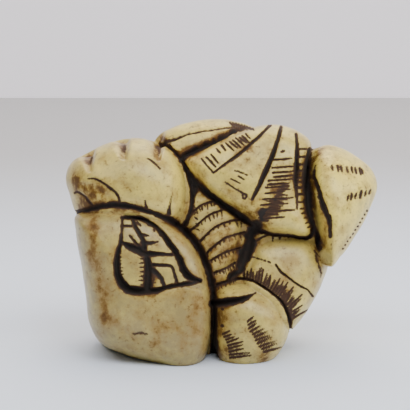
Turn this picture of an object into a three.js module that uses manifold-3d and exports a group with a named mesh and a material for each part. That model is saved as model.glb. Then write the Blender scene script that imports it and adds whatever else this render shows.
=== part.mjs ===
// A small netsuke carved from one block: a block-like sleeve, a hood, a pleated fan of cloth, a ribbed
// band, a drop-shaped sleeve end, a round knee and a drape, in front of a plain mantle with cord holes.
// Millimetres, +Z up, the front towards -Y, standing on z = 0.

import * as THREE from 'three';
import { mergeVertices } from 'three/addons/utils/BufferGeometryUtils.js';
import Module from 'manifold-3d';

const wasm = await Module();
wasm.setup();

// Driving dimensions. The carving is laid out as a relief: x to the right, "up" and "depth" in a plane
// that leans back, with depth growing away from a viewing point in front. Outlines keep their drawn
// shape from that point, because x and up spread with depth as its sight lines do.
const lean = THREE.MathUtils.degToRad(10);
const viewing = { distance: 260, x: -2.3, up: 22.4 };
const sink = 2.07; // how far the foot's plane lies below the relief's zero
const blockHeight = 60; // larger than the figure, for the block that trims the foot
const ringPower = 0.8; // below 1 it moves a form's rings towards its edge

const ivory = new THREE.MeshStandardMaterial({ color: '#c6b88e', roughness: 0.4, metalness: 0 });

// Each form is a pebble: a closed outline of [x, up] corners about a centre, a middle depth with a tilt
// [per mm of x, per mm of up], and how far it stands to the front and goes to the back.
// square: 2 is a round face, 6 a flat one. edge: 2 is a round rim, 4 a steep one.
// crown: share of the front height that stays a gentle dome.
const forms = {
  mantle: {
    centre: [-1, 17], middle: 2, front: 7.5, back: 8.8, square: 3.2, edge: 2.6, around: 34, rings: 14,
    outline: [[19, 25], [14, 29.4], [8, 32.2], [0, 33.2], [-8, 31], [-16, 29.2], [-19.8, 26],
      [-19.4, 20], [-18.2, 10], [-15.4, 3.2], [-8, 1], [4, 0.8], [8.3, 4.2], [12, 10], [14.6, 15.5]],
  },
  sleeve: {
    centre: [-11, 10.5], middle: -1.5, front: 9.3, back: 8.5, square: 9, edge: 4.5, crown: 0.1,
    leftSquare: 3.6, around: 38, rings: 14,
    outline: [[-1.4, 7], [-1.8, 11.2], [-3.2, 15.6], [-5.8, 18.8], [-10, 21], [-14.6, 22],
      [-18.6, 21.4], [-20.5, 20.7], [-20.4, 18.8], [-19.6, 14], [-18.95, 9.6], [-18.4, 5.7],
      [-17, 3.2], [-13.8, 1.6], [-9, 0.1], [-4.6, -0.9], [-2.6, 0.6], [-1.6, 3.4]],
  },
  hood: {
    centre: [-12.5, 24.5], middle: -1, front: 8.4, back: 8.5, square: 3, edge: 2.8, crown: 0.25,
    tilt: [-0.05, 0], around: 30, rings: 12,
    outline: [[-4.4, 24.3], [-5.1, 27.2], [-7, 29.9], [-9.6, 31.4], [-12, 31.8], [-15.2, 31.3],
      [-18.6, 29.8], [-20.9, 28.4], [-21.8, 25.8], [-21.2, 23.8], [-20.2, 21], [-16, 18], [-10, 17.5],
      [-5.6, 19.5]],
  },
  band: {
    centre: [-1.5, 26.5], middle: 1, front: 5.6, back: 7, square: 2.6, edge: 2.4, around: 24,
    rings: 10,
    outline: [[7.5, 29], [4.4, 33.3], [1.6, 34.2], [-1.5, 34.4], [-4.4, 34], [-7, 33.2], [-8.9, 32],
      [-9.8, 29.5], [-8, 23], [3, 22]],
  },
  fan: {
    centre: [5, 26], middle: -0.5, front: 7.6, back: 6.5, square: 8, edge: 4, crown: 0.15,
    tilt: [0.03, 0.2], around: 36, rings: 12,
    outline: [[11.9, 24], [12.2, 20.8], [12.7, 18.9], [9, 18.3], [6, 18.8], [3.9, 20.4], [0.4, 22.7],
      [-2.4, 24.8], [-4.2, 26.8], [-5.3, 28.7], [-3.5, 29.8], [-0.4, 31.2], [2.6, 32.7], [5.3, 33.5],
      [8.3, 33.6], [10.6, 32.8], [12.5, 31.1], [12.2, 28]],
  },
  ribbed: {
    centre: [-0.5, 17], middle: -1, front: 6.3, back: 4, square: 2.6, edge: 3, around: 20, rings: 10,
    outline: [[3.1, 18], [3.4, 20], [1, 23], [-2.4, 25], [-6, 22.5], [-5.6, 18], [-3, 14], [-2.4, 10],
      [1, 9.8], [1.8, 12.4], [2.2, 14.5], [2.7, 16.5]],
  },
  drop: {
    centre: [16.8, 24.3], middle: -0.5, front: 7, back: 7, square: 3, edge: 3, crown: 0.4,
    tilt: [0.3, 0.32], around: 28, rings: 12,
    outline: [[21.75, 25.5], [21, 27.4], [18.9, 29.2], [16.7, 30.4], [14.8, 30.8], [13.2, 30.2],
      [12.4, 28], [12.3, 25.4], [12.9, 21.4], [13.8, 17.8], [14.6, 15.2], [15.15, 13.8], [16.7, 15.2],
      [19, 18.5], [20.8, 21.9]],
  },
  knee: {
    centre: [4.2, 5.7], middle: -3.5, front: 6.2, back: 8, square: 2.4, edge: 2.3, around: 24,
    rings: 12,
    outline: [[9.45, 5], [9, 7.3], [7.4, 9.7], [5, 11.1], [2.4, 11.75], [-0.6, 10.9], [-1.1, 6],
      [-1, 2.4], [0.5, -0.2], [3, -1.1], [5.6, -0.4], [8.5, 2.4]],
  },
  drape: {
    centre: [8.5, 12.5], middle: -0.5, front: 6.6, back: 5, square: 3.4, edge: 3, tilt: [0.08, 0.18],
    around: 26, rings: 10,
    outline: [[14.9, 14], [14.4, 16], [12.8, 18], [8.6, 19.2], [5.8, 18.5], [4.4, 17.3], [4, 15.2],
      [2.8, 12.8], [3, 7], [6.5, 4.4], [9.6, 4.7], [10.8, 6], [12.75, 8.8], [14.2, 11.8]],
  },
};

// The sleeve's mouth: a flat-floored pocket, and the cloth and hand-like shapes left standing in it.
const sleeveMouth = {
  pocket: {
    centre: [-9.8, 14.8], onFace: 0, front: 3, back: 1.3, square: 8, edge: 4, around: 28, rings: 8,
    outline: [[-5.1, 14.7], [-6.75, 17], [-8.6, 19.4], [-10.8, 20.6], [-13.9, 20.9], [-14.1, 18],
      [-15, 15.5], [-15.2, 13], [-14.2, 10.8], [-12, 9.85], [-8.8, 10.1], [-5.5, 10.9], [-2.7, 11.6],
      [-4.5, 12.9]],
  },
  thumb: {
    centre: [-12.5, 13.4], onFace: 1.3, front: 1.25, back: 2, square: 4, edge: 2.4, around: 16, rings: 6,
    outline: [[-10.9, 13.4], [-11.3, 15.2], [-14.1, 16.5], [-14.4, 14], [-13.8, 12], [-12.3, 10.8],
      [-11, 10.9]],
  },
  petals: {
    centre: [-12.6, 18.2], onFace: 1.3, front: 1.1, back: 2, square: 4, edge: 2.4, around: 16, rings: 6,
    outline: [[-10.9, 17.2], [-11.9, 19.2], [-12.6, 20.2], [-13.7, 20.2], [-13.7, 18.2], [-13, 17.2],
      [-11.8, 16.6]],
  },
  wedge: {
    centre: [-8.8, 16.8], onFace: 1.3, front: 1.1, back: 2, square: 5, edge: 2.6, around: 16, rings: 6,
    outline: [[-6.8, 15.7], [-7.7, 17.6], [-9.3, 19.3], [-11, 20.1], [-11.3, 19.6], [-10, 17.6],
      [-10.8, 16.1], [-9, 15.8]],
  },
  cuff: {
    centre: [-7.7, 13], onFace: 1.3, front: 1.1, back: 2, square: 5, edge: 2.6, around: 16, rings: 6,
    outline: [[-5.2, 12.2], [-6.4, 15.2], [-9.8, 15.1], [-9.6, 12.5], [-9.3, 11], [-7.2, 11.4]],
  },
};

// Grooves cut into the faces: a line of [x, up] points, with width and depth at the middle of the line.
const grooves = [
  // the fan's pleats
  { line: [[-1.1, 26.9], [1.8, 29], [4.6, 31.4], [6.8, 33.4]], width: 0.5, depth: 0.55 },
  { line: [[-1.1, 26.9], [-2.8, 28.8]], width: 0.3, depth: 0.3 },
  { line: [[4.3, 23.2], [5.7, 26], [7.1, 29.3], [8.4, 33.2]], width: 0.7, depth: 0.9 },
  { line: [[10.6, 21.8], [10.35, 25.5], [10.6, 29.7], [10.5, 32.4]], width: 0.8, depth: 0.9 },
  // the ribs of the band
  { line: [[-4.4, 21], [-3.2, 22.1], [-1, 22.9]], width: 0.35, depth: 0.5 },
  { line: [[-4, 18.9], [-2.4, 20.4], [0.1, 21.7]], width: 0.35, depth: 0.5 },
  { line: [[-2.9, 17.4], [-0.6, 19.4], [2.7, 20.4]], width: 0.35, depth: 0.5 },
  { line: [[-2, 15.7], [0.2, 17.5], [3.1, 18.6]], width: 0.35, depth: 0.5 },
  { line: [[-1.5, 14.6], [0.5, 15.7], [2.7, 16.4]], width: 0.35, depth: 0.5 },
  { line: [[-1.2, 12.8], [0.3, 13.5], [2.1, 14.3]], width: 0.35, depth: 0.5 },
  // the drop's slit, the knee's slot, the hood's hem line and the drape's fold
  { line: [[13.2, 28], [13.2, 25.6], [14.1, 22.8], [15.1, 20.2], [15.3, 17.9]], width: 0.6, depth: 0.8 },
  { line: [[-1.2, 8.7], [1.6, 8.9], [4.8, 10]], width: 1.4, depth: 1.8 },
  { line: [[-18.8, 26], [-16.8, 25.7], [-14.9, 24.2], [-14.2, 22.6]], width: 0.4, depth: 0.4 },
  { line: [[7.6, 14], [9.2, 12.4], [11.1, 11], [12.8, 9.5]], width: 0.35, depth: 0.35 },
];

// Creases where one form stands in front of the next: the front form's outline between two angles in
// degrees, a little outside its edge.
const creases = [
  { form: 'sleeve', from: -64, to: 130, outside: 0.25, width: 0.9, depth: 1.4 },
  { form: 'hood', from: -40, to: 66, outside: 0.2, width: 0.7, depth: 1.1 },
  { form: 'fan', from: 96, to: 268, outside: 0.3, width: 0.8, depth: 1.1 },
  { form: 'fan', from: 268, to: 318, outside: 0.15, width: 0.6, depth: 1 },
  { form: 'drop', from: 128, to: 258, outside: 0.3, width: 0.9, depth: 1.1 },
  { form: 'knee', from: -2, to: 128, outside: 0.15, width: 0.6, depth: 1.2 },
];

// Shallow robe folds down the plain back, and the two cord holes with the tunnel that joins them.
const backFolds = [
  [[13, 27], [7, 19], [3, 9]],
  [[4, 31], [-1, 22], [-3, 10]],
  [[-8, 29], [-11, 20], [-10, 8]],
];
const foldSize = { width: 1.6, depth: 0.8 };
const cordHole = { bore: 3.2, reach: 4.6, upper: [2.8, 21], lower: [1.2, 13.5] };

// The smooth closed line through a form's corners, as its radius at each angle about the centre.
// 1 / radius runs as a cubic from corner to corner, which keeps straight sides straight, and its slope
// at a corner is that of the parabola through the corner and its neighbours.
function radiusAround({ centre, outline }) {
  const turn = 2 * Math.PI;
  const corners = outline
    .map(([x, up]) => {
      const [dx, du] = [x - centre[0], up - centre[1]];
      return { angle: (Math.atan2(du, dx) + turn) % turn, inverse: 1 / Math.hypot(dx, du) };
    })
    .sort((a, b) => a.angle - b.angle);
  const count = corners.length;
  const at = (i) => corners[((i % count) + count) % count];
  const gap = (i) => (at(i + 1).angle - at(i).angle + turn) % turn;
  const rise = (i) => (at(i + 1).inverse - at(i).inverse) / gap(i);
  const slope = (i) => (rise(i - 1) * gap(i) + rise(i) * gap(i - 1)) / (gap(i - 1) + gap(i));
  return (angle) => {
    const wanted = ((angle % turn) + turn) % turn;
    let i = corners.findIndex((corner) => corner.angle > wanted) - 1;
    if (i < -1) i = count - 1;
    const t = ((wanted - at(i).angle + turn) % turn) / gap(i);
    const [t2, t3] = [t * t, t * t * t];
    const inverse = at(i).inverse * (2 * t3 - 3 * t2 + 1) + at(i + 1).inverse * (3 * t2 - 2 * t3)
      + gap(i) * (slope(i) * (t3 - 2 * t2 + t) + slope(i + 1) * (t3 - t2));
    return 1 / inverse;
  };
}

for (const form of [...Object.values(forms), ...Object.values(sleeveMouth)]) {
  form.radius = radiusAround(form);
}

// How much of a form's full height is left at a share (0 centre, 1 edge) of the way out.
function fullness(form, share, angle) {
  const leftward = (1 - Math.cos(angle)) / 2;
  const square = form.square + ((form.leftSquare ?? form.square) - form.square) * leftward;
  const boxy = Math.max(0, 1 - share ** square) ** (1 / form.edge);
  const crown = form.crown ?? 0;
  return boxy * (1 - crown) + crown * (1 - share * share);
}

function middleDepth(form, x, up) {
  const [tiltX, tiltUp] = form.tilt ?? [0, 0];
  const base = form.onFace === undefined ? form.middle : faceDepth(...form.centre) + form.onFace;
  return base + tiltX * (x - form.centre[0]) + tiltUp * (up - form.centre[1]);
}

// Depth of the frontmost form at a place in the relief, or of the rearmost one for the back. Just off
// the figure it is the middle depth of the nearest form.
function faceDepth(x, up, side = -1) {
  let depth = -side * Infinity;
  let nearest = { share: Infinity, depth: 0 };
  for (const form of Object.values(forms)) {
    const [dx, du] = [x - form.centre[0], up - form.centre[1]];
    const angle = Math.atan2(du, dx);
    const share = Math.hypot(dx, du) / form.radius(angle);
    const middle = middleDepth(form, x, up);
    if (share >= 1) {
      if (share < nearest.share) nearest = { share, depth: middle };
      continue;
    }
    const here = middle + side * (side < 0 ? form.front : form.back) * fullness(form, share, angle);
    depth = side < 0 ? Math.min(depth, here) : Math.max(depth, here);
  }
  return Number.isFinite(depth) ? depth : nearest.depth;
}

// From the relief to the piece's own upright axes.
function toPiece(x, up, depth) {
  const spread = 1 + depth / viewing.distance;
  const wide = viewing.x + (x - viewing.x) * spread;
  const high = viewing.up + (up - viewing.up) * spread;
  return new THREE.Vector3(
    wide,
    depth * Math.cos(lean) + high * Math.sin(lean),
    high * Math.cos(lean) - depth * Math.sin(lean) - sink,
  );
}

// A closed solid from a three.js geometry whose points are moved by a function.
function solid(geometry, move) {
  geometry.deleteAttribute('normal');
  geometry.deleteAttribute('uv');
  const shell = mergeVertices(geometry);
  const points = shell.attributes.position;
  const point = new THREE.Vector3();
  for (let i = 0; i < points.count; i += 1) {
    point.copy(move(point.fromBufferAttribute(points, i)));
    points.setXYZ(i, point.x, point.y, point.z);
  }
  const made = (triVerts) => new wasm.Manifold(
    new wasm.Mesh({ numProp: 3, vertProperties: new Float32Array(points.array), triVerts }),
  );
  const triangles = new Uint32Array(shell.index.array);
  const body = made(triangles);
  return body.volume() > 0 ? body : made(triangles.reverse());
}

// A ball drawn out to a form's outline and heights.
function pebble(form) {
  const ball = new THREE.SphereGeometry(1, form.around, form.rings);
  return solid(ball, (point) => {
    const angle = Math.atan2(point.z, point.x);
    const onEdge = Math.abs(point.y) < 1e-6;
    const share = onEdge ? 1 : Math.hypot(point.x, point.z) ** ringPower;
    const reach = share * form.radius(angle);
    const x = form.centre[0] + reach * Math.cos(angle);
    const up = form.centre[1] + reach * Math.sin(angle);
    const height = (point.y > 0 ? -form.front : form.back) * fullness(form, share, angle);
    return toPiece(x, up, middleDepth(form, x, up) + (onEdge ? 0 : height));
  });
}

// A four-sided bar bent along a line on the face and thinned to its ends, to be cut away.
function gouge({ line, width, depth }, side = -1) {
  const path = new THREE.CatmullRomCurve3(line.map(([x, up]) => new THREE.Vector3(x, up, 0)));
  const steps = Math.max(4, Math.round(path.getLength() / 2.2));
  const bar = new THREE.CylinderGeometry(1, 1, 1, 4, steps);
  return solid(bar, (point) => {
    const along = point.y + 0.5;
    const thinning = 0.15 + 0.85 * Math.sin(Math.PI * along) ** 0.5;
    const spot = path.getPointAt(along);
    const ahead = path.getTangentAt(along);
    const across = 0.5 * width * thinning * point.x;
    const face = faceDepth(spot.x, spot.y, side);
    return toPiece(
      spot.x - across * ahead.y,
      spot.y + across * ahead.x,
      face - side * (point.z * depth * thinning),
    );
  });
}

function creaseLine({ form, from, to, outside }) {
  const { centre, radius } = forms[form];
  const count = Math.round((to - from) / 9);
  return Array.from({ length: count + 1 }, (_, i) => {
    const angle = THREE.MathUtils.degToRad(from + ((to - from) * i) / count);
    const reach = radius(angle) + outside;
    return [centre[0] + reach * Math.cos(angle), centre[1] + reach * Math.sin(angle)];
  });
}

// The tunnel dips from one cord hole into the block and out at the other.
function cordTunnel() {
  const { bore, reach, upper, lower } = cordHole;
  const backAt = ([x, up], inside) => toPiece(x, up, faceDepth(x, up, 1) - inside);
  const between = (share) => [0, 1].map((i) => upper[i] + (lower[i] - upper[i]) * share);
  const path = new THREE.CatmullRomCurve3([
    backAt(upper, -2), backAt(between(0.05), reach * 0.5), backAt(between(0.5), reach),
    backAt(between(0.95), reach * 0.5), backAt(lower, -2),
  ]);
  const ring = new THREE.Shape().absarc(0, 0, bore / 2, 0, 2 * Math.PI);
  const tube = new THREE.ExtrudeGeometry(ring, { steps: 12, curveSegments: 10, extrudePath: path });
  return solid(tube, (point) => point);
}

function toMesh(body, name) {
  const { vertProperties, triVerts } = body.getMesh();
  const geometry = new THREE.BufferGeometry();
  geometry.setAttribute('position', new THREE.BufferAttribute(vertProperties, 3));
  geometry.setIndex(new THREE.BufferAttribute(triVerts, 1));
  const box = new THREE.Box3().setFromBufferAttribute(geometry.attributes.position);
  geometry.translate(-(box.min.x + box.max.x) / 2, -(box.min.y + box.max.y) / 2, -box.min.z);
  const mesh = new THREE.Mesh(geometry, ivory);
  mesh.name = name;
  return mesh;
}

let figure = pebble(forms.mantle);
for (const [name, form] of Object.entries(forms)) {
  if (name !== 'mantle') figure = figure.add(pebble(form));
}

figure = figure.subtract(pebble(sleeveMouth.pocket));
for (const [name, form] of Object.entries(sleeveMouth)) {
  if (name !== 'pocket') figure = figure.add(pebble(form));
}

for (const groove of grooves) figure = figure.subtract(gouge(groove));
for (const crease of creases) {
  figure = figure.subtract(gouge({ ...crease, line: creaseLine(crease) }));
}
for (const line of backFolds) figure = figure.subtract(gouge({ line, ...foldSize }, 1));
figure = figure.subtract(cordTunnel());

const below = new THREE.BoxGeometry(2 * blockHeight, 2 * blockHeight, blockHeight);
below.translate(0, 0, -blockHeight / 2);
figure = figure.subtract(solid(below, (point) => point));

const netsuke = new THREE.Group();
netsuke.add(toMesh(figure, 'carved_netsuke'));

export default netsuke;
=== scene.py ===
import math

import bpy
import numpy as np
from mathutils import Matrix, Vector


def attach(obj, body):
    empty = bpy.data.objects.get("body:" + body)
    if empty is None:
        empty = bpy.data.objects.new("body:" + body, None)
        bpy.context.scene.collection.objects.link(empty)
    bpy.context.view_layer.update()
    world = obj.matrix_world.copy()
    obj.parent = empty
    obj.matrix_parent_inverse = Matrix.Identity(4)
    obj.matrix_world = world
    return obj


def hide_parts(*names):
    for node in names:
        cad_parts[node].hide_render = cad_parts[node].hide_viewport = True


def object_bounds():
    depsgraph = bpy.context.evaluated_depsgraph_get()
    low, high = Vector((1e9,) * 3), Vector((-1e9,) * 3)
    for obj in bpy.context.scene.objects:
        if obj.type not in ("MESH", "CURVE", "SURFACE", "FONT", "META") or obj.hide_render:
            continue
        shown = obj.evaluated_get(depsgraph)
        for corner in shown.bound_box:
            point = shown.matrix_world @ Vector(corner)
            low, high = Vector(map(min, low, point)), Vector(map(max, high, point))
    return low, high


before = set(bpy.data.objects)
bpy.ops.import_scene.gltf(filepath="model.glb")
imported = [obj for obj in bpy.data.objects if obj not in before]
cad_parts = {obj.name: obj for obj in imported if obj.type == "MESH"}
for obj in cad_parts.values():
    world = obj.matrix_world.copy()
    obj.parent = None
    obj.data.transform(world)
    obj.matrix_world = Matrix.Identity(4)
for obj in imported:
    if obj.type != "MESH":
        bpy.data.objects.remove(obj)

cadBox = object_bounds()
nodeName = "carved_netsuke"
mm = 0.001
turn = 2 * math.pi  # a full turn


# The carving is laid out as a relief: x to the right, up and depth in a plane that leans back, in mm.
# Depth grows away from a viewing point in front, and x and up spread with it, so a form keeps its
# drawn outline from there.
relief = {
    "lean": math.radians(10),
    "viewDistance": 260.0,
    "viewX": -2.3,
    "viewUp": 22.4,
    "sink": 2.07,  # how far the foot's plane lies below the relief's zero
}


def toPiece(x, up, depth):
    # spread by depth over the viewing distance, then lean back, in mm
    spread = 1 + depth / relief["viewDistance"]
    wide = relief["viewX"] + (x - relief["viewX"]) * spread
    high = relief["viewUp"] + (up - relief["viewUp"]) * spread
    c, s = math.cos(relief["lean"]), math.sin(relief["lean"])
    return np.stack([wide, depth * c + high * s, high * c - depth * s - relief["sink"]], axis=-1)


# Each form is a pebble: corners of a closed outline about a centre, a middle depth with a tilt per mm,
# and its height to the front and back. square 2 is round and 6 flat, edge 2 is a soft rim and 4 steep,
# crown is the share of the front that stays a gentle dome. tone is how pale a form is: partly kept so
# by handling, and partly painted light, the forms the light falls on more being paler.
forms = {
    "mantle": dict(
        centre=(-1, 17), middle=2, front=7.5, back=8.8, square=3.2, edge=2.6, tone=0.2,
        outline=[(19, 25), (14, 29.4), (8, 32.2), (0, 33.2), (-8, 31), (-16, 29.2), (-19.8, 26),
                 (-19.4, 20), (-18.2, 10), (-15.4, 3.2), (-8, 1), (4, 0.8), (8.3, 4.2), (12, 10),
                 (14.6, 15.5)]),
    "sleeve": dict(
        centre=(-11, 10.5), middle=-1.5, front=9.3, back=8.5, square=9, edge=4.5, crown=0.1,
        leftSquare=3.6, tone=0,
        outline=[(-1.4, 7), (-1.8, 11.2), (-3.2, 15.6), (-5.8, 18.8), (-10, 21), (-14.6, 22),
                 (-18.6, 21.4), (-20.5, 20.7), (-20.4, 18.8), (-19.6, 14), (-18.95, 9.6), (-18.4, 5.7),
                 (-17, 3.2), (-13.8, 1.6), (-9, 0.1), (-4.6, -0.9), (-2.6, 0.6), (-1.6, 3.4)]),
    "hood": dict(
        centre=(-12.5, 24.5), middle=-1, front=8.4, back=8.5, square=3, edge=2.8, crown=0.25,
        tilt=(-0.05, 0), tone=0.42,
        outline=[(-4.4, 24.3), (-5.1, 27.2), (-7, 29.9), (-9.6, 31.4), (-12, 31.8), (-15.2, 31.3),
                 (-18.6, 29.8), (-20.9, 28.4), (-21.8, 25.8), (-21.2, 23.8), (-20.2, 21), (-16, 18),
                 (-10, 17.5), (-5.6, 19.5)]),
    "band": dict(
        centre=(-1.5, 26.5), middle=1, front=5.6, back=7, square=2.6, edge=2.4, tone=0.55,
        outline=[(7.5, 29), (4.4, 33.3), (1.6, 34.2), (-1.5, 34.4), (-4.4, 34), (-7, 33.2),
                 (-8.9, 32), (-9.8, 29.5), (-8, 23), (3, 22)]),
    "fan": dict(
        centre=(5, 26), middle=-0.5, front=7.6, back=6.5, square=8, edge=4, crown=0.15,
        tilt=(0.03, 0.2), tone=0.56,
        outline=[(11.9, 24), (12.2, 20.8), (12.7, 18.9), (9, 18.3), (6, 18.8), (3.9, 20.4),
                 (0.4, 22.7), (-2.4, 24.8), (-4.2, 26.8), (-5.3, 28.7), (-3.5, 29.8), (-0.4, 31.2),
                 (2.6, 32.7), (5.3, 33.5), (8.3, 33.6), (10.6, 32.8), (12.5, 31.1), (12.2, 28)]),
    "ribbed": dict(
        centre=(-0.5, 17), middle=-1, front=6.3, back=4, square=2.6, edge=3, tone=0.24,
        outline=[(3.1, 18), (3.4, 20), (1, 23), (-2.4, 25), (-6, 22.5), (-5.6, 18), (-3, 14),
                 (-2.4, 10), (1, 9.8), (1.8, 12.4), (2.2, 14.5), (2.7, 16.5)]),
    "drop": dict(
        centre=(16.8, 24.3), middle=-0.5, front=7, back=7, square=3, edge=3, crown=0.4,
        tilt=(0.3, 0.32), tone=0.7,
        outline=[(21.75, 25.5), (21, 27.4), (18.9, 29.2), (16.7, 30.4), (14.8, 30.8), (13.2, 30.2),
                 (12.4, 28), (12.3, 25.4), (12.9, 21.4), (13.8, 17.8), (14.6, 15.2), (15.15, 13.8),
                 (16.7, 15.2), (19, 18.5), (20.8, 21.9)]),
    "knee": dict(
        centre=(4.2, 5.7), middle=-3.5, front=6.2, back=8, square=2.4, edge=2.3, tone=0.28,
        outline=[(9.45, 5), (9, 7.3), (7.4, 9.7), (5, 11.1), (2.4, 11.75), (-0.6, 10.9), (-1.1, 6),
                 (-1, 2.4), (0.5, -0.2), (3, -1.1), (5.6, -0.4), (8.5, 2.4)]),
    "drape": dict(
        centre=(8.5, 12.5), middle=-0.5, front=6.6, back=5, square=3.4, edge=3, tilt=(0.08, 0.18),
        tone=0.34,
        outline=[(14.9, 14), (14.4, 16), (12.8, 18), (8.6, 19.2), (5.8, 18.5), (4.4, 17.3), (4, 15.2),
                 (2.8, 12.8), (3, 7), (6.5, 4.4), (9.6, 4.7), (10.8, 6), (12.75, 8.8), (14.2, 11.8)]),
}


def outlineRadius(form):
    # radius of the closed line at an angle about the centre. 1 / radius runs as a cubic from corner to
    # corner, which keeps straight sides straight; each slope is that of the parabola through a corner
    # and its neighbours
    corner = np.array(form["outline"], float) - form["centre"]
    angle = np.arctan2(corner[:, 1], corner[:, 0]) % turn
    order = np.argsort(angle)
    a, r = angle[order], 1 / np.hypot(corner[:, 0], corner[:, 1])[order]
    gap = (np.roll(a, -1) - a) % turn
    rise = (np.roll(r, -1) - r) / gap
    before, gapBefore = np.roll(rise, 1), np.roll(gap, 1)
    slope = (before * gap + rise * gapBefore) / (gap + gapBefore)
    wanted = np.linspace(0, turn, 4 * 360 + 1)
    i = (np.searchsorted(a, wanted, side="right") - 1) % len(a)
    j = (i + 1) % len(a)
    t = ((wanted - a[i]) % turn) / gap[i]
    inverse = (r[i] * (2 * t**3 - 3 * t**2 + 1) + r[j] * (3 * t**2 - 2 * t**3)
               + gap[i] * (slope[i] * (t**3 - 2 * t**2 + t) + slope[j] * (t**3 - t**2)))
    return lambda at: 1 / np.interp(at % turn, wanted, inverse)


def share(form, x, up):
    # how far out a place lies, 0 at the form's centre and 1 on its outline, and the angle it is at
    dx, du = x - form["centre"][0], up - form["centre"][1]
    angle = np.arctan2(du, dx)
    return np.hypot(dx, du) / form["radius"](angle), angle


def fullness(form, out, angle):
    # (1 - out^square)^(1/edge), mixed with a dome 1 - out^2 by the crown. The square turns into
    # leftSquare round to the left
    square = form["square"]
    if "leftSquare" in form:
        square = square + (form["leftSquare"] - square) * (1 - np.cos(angle)) / 2
    out = np.minimum(out, 1)
    crown = form.get("crown", 0)
    return (1 - out**square) ** (1 / form["edge"]) * (1 - crown) + crown * (1 - out**2)


def middleDepth(form, x, up):
    tilt = form.get("tilt", (0, 0))
    return form["middle"] + tilt[0] * (x - form["centre"][0]) + tilt[1] * (up - form["centre"][1])


def isInside(x, up, depth):
    # true where any form holds the place
    held = np.zeros(x.shape, bool)
    for form in forms.values():
        out, angle = share(form, x, up)
        away = depth - middleDepth(form, x, up)
        height = np.where(away < 0, form["front"], form["back"]) * fullness(form, out, angle)
        held |= (out < 1) & (abs(away) < height)
    return held


def toneOf(x, up):
    # the tone of the form that stands foremost at each place
    tone, foremost = np.full(x.shape, forms["mantle"]["tone"]), np.full(x.shape, np.inf)
    for form in forms.values():
        out, angle = share(form, x, up)
        depth = middleDepth(form, x, up) - form["front"] * fullness(form, out, angle)
        ahead = (out < 1) & (depth < foremost)
        tone = np.where(ahead, form["tone"], tone)
        foremost = np.where(ahead, depth, foremost)
    return tone


def backDepth(x, up):
    # depth of the rearmost form at a place
    deepest = -math.inf
    for form in forms.values():
        out, angle = share(form, x, up)
        if out < 1:
            deepest = max(deepest, float(middleDepth(form, x, up)
                                         + form["back"] * fullness(form, out, angle)))
    return deepest


for form in forms.values():
    form["radius"] = outlineRadius(form)


# A square grid is folded onto a disc to make the skin. Its inner part lies on a flat core inside the
# figure and looks straight out of the front or back; its outer rows fan round from there to the
# silhouette.
skin = {
    "centre": (-1.0, 17.5),
    "coreDepth": 0.0,
    "inset": 5.0,  # from the silhouette to the core's rim
    "frontReach": 8.5,
    "backReach": 9.0,
    "frontCells": 272,  # the back has half as many
    "flatShare": 0.676,  # share of the rows that look straight out
    "bend": 0.17,  # how unevenly the outer rows fan round
    "outlineReach": (5, 26),  # mm from the centre between which the outlines lie
    "evening": 9,  # half degrees to either side over which the silhouette is evened
    "farthest": 1.7,  # the search along a ray comes in from here, in ray lengths
    "nearest": 0.1,  # and gives up here
    "searchStep": 0.02,
    "halvings": 12,  # of the last step
}


def discGrid(cells):
    # ring = max(|a|, |b|), and the angle goes evenly round each square ring
    line = np.linspace(-1, 1, cells + 1)
    a, b = np.meshgrid(line, line, indexing="ij")
    ring = np.maximum(abs(a), abs(b))
    wide = abs(a) >= abs(b)
    safeA, safeB = np.where(a == 0, 1, a), np.where(b == 0, 1, b)
    acrossAngle = math.pi / 4 * b / safeA + np.where(a < 0, math.pi, 0)
    alongAngle = math.pi / 2 - math.pi / 4 * a / safeB + np.where(b < 0, math.pi, 0)
    return ring, np.where(wide, acrossAngle, alongAngle)


def silhouetteRadius():
    # the farthest place any outline reaches at each angle about the skin's centre, lightly evened
    angles = np.linspace(0, turn, 2 * 360 + 1)
    near, far = skin["outlineReach"]
    reach = np.linspace(near, far, 20 * (far - near) + 1)
    x = skin["centre"][0] + np.outer(np.cos(angles), reach)
    up = skin["centre"][1] + np.outer(np.sin(angles), reach)
    held = np.zeros(x.shape, bool)
    for form in forms.values():
        held |= share(form, x, up)[0] < 1
    radius = (held * reach).max(axis=1)[:-1]
    width = skin["evening"]
    evened = sum(np.roll(radius, k) for k in range(-width, width + 1)) / (2 * width + 1)
    evened = np.append(evened, evened[0])
    return lambda at: np.interp(at % turn, angles, evened)


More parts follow.
